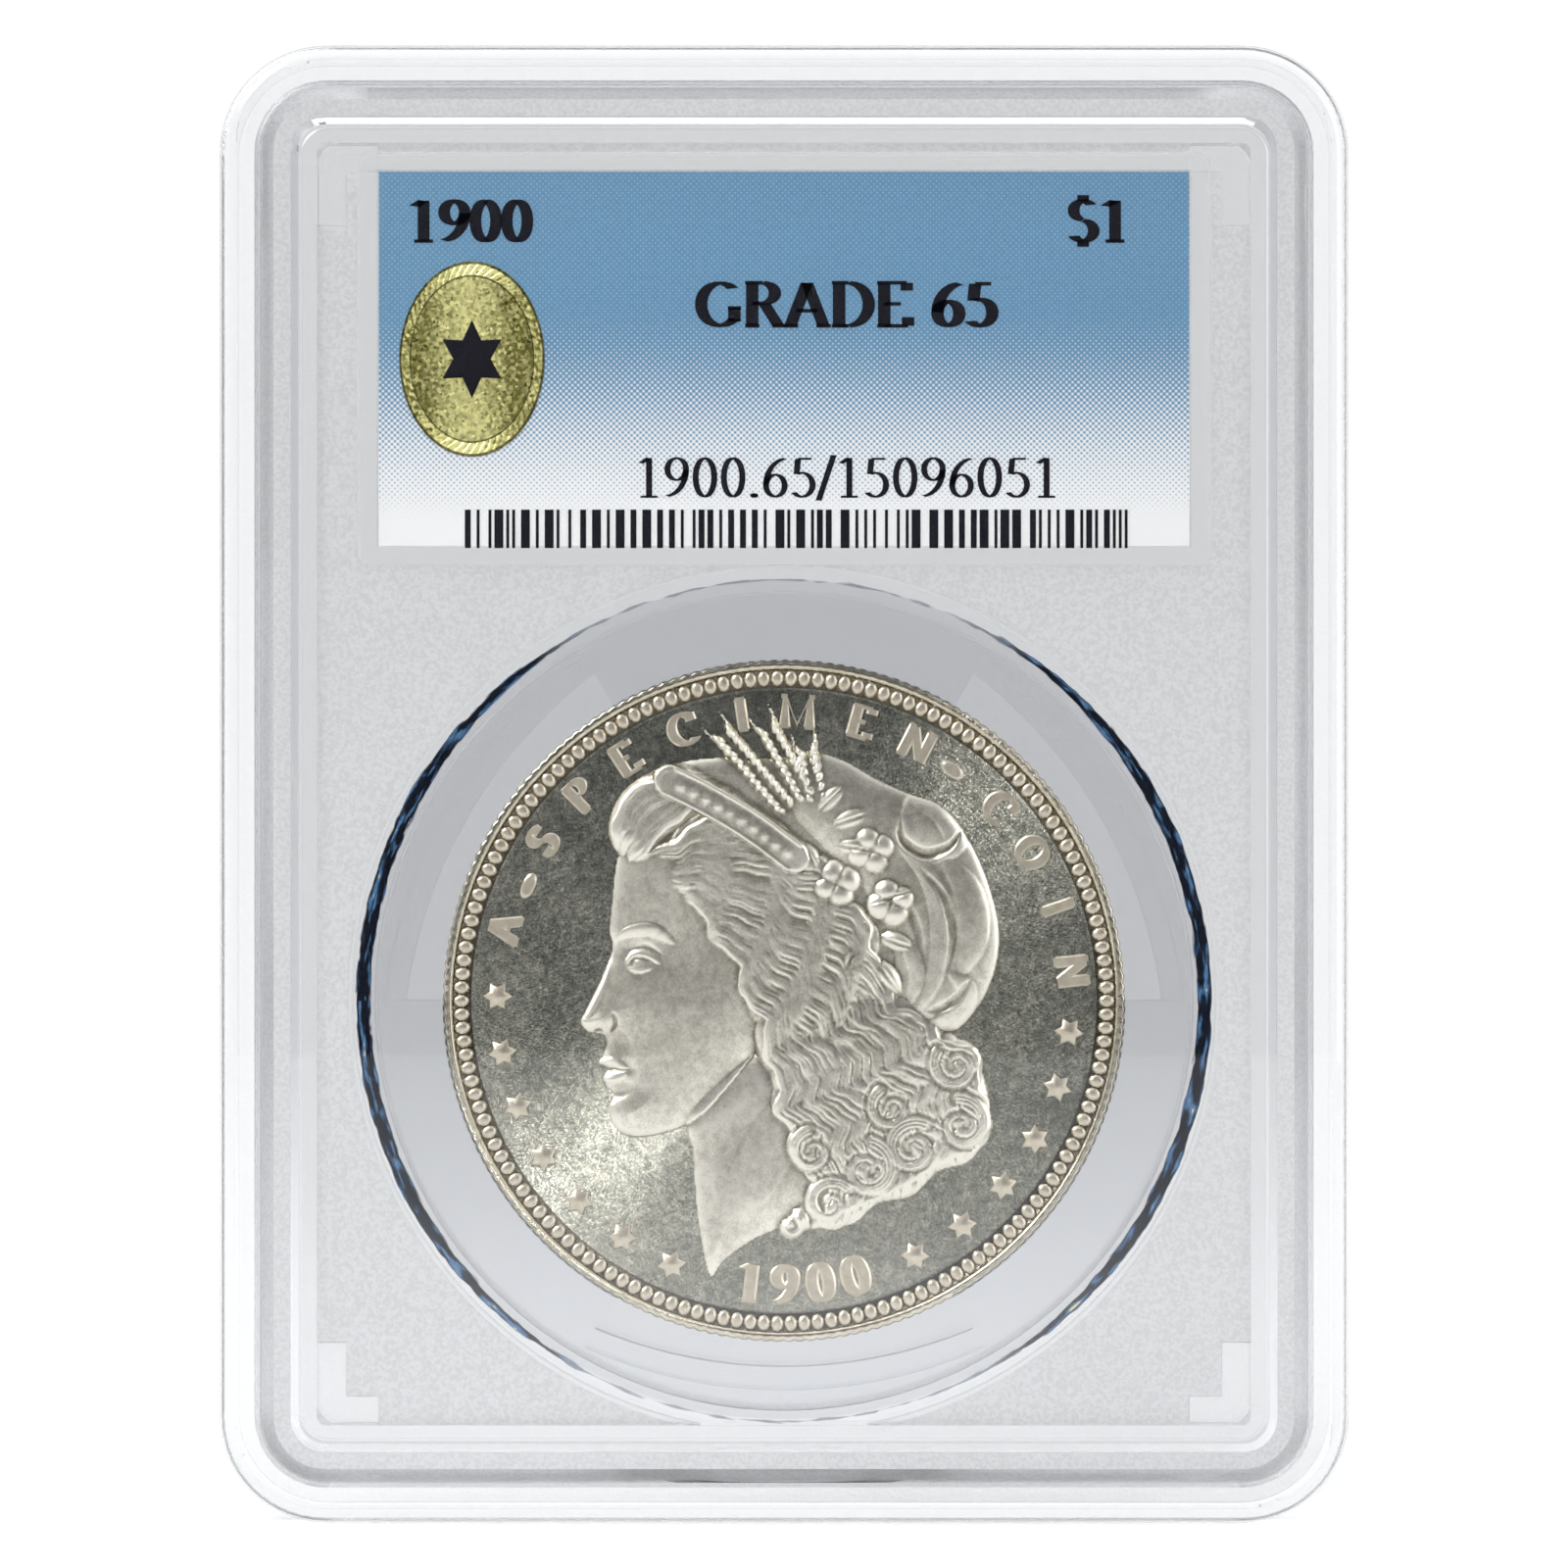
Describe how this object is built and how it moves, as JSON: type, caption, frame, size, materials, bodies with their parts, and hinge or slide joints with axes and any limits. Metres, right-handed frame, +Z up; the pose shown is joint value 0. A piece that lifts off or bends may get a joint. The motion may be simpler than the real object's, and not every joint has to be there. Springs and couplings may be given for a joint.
{
  "type": "coin slab",
  "caption": "Sealed clear two-shell holder gripping a dollar-sized coin in a fingered insert, with a printed label in its own pocket above it.",
  "frame": {"origin": "middle of the bottom edge, on the surface the slab stands on", "axes": "+Z up the slab's height, +X to the right seen from the front, +Y through the thickness towards the back"},
  "size_m": [0.063, 0.008, 0.0824],
  "materials": {
    "front_shell": "clear, polished windows and frosted borders",
    "back_shell": "clear, polished windows and frosted borders",
    "coin_insert": "clear, slightly soft",
    "coin_silver": "struck silver with a frosty lustre",
    "label_card": "printed card, blue fading to pale grey",
    "antenna_tag": "clear film with an etched copper loop",
    "back_label": "printed card",
    "seal_foil": "embossed gold foil",
    "back_seal_foil": "embossed silver foil"
  },
  "bodies": {
    "root": {"front_shell": "front_shell", "back_shell": "back_shell", "coin_insert": "coin_insert", "coin": "coin_silver", "label_card": "label_card", "antenna_tag": "antenna_tag", "back_label": "back_label", "seal_foil": "seal_foil", "back_seal_foil": "back_seal_foil"}
  },
  "joints": []
}
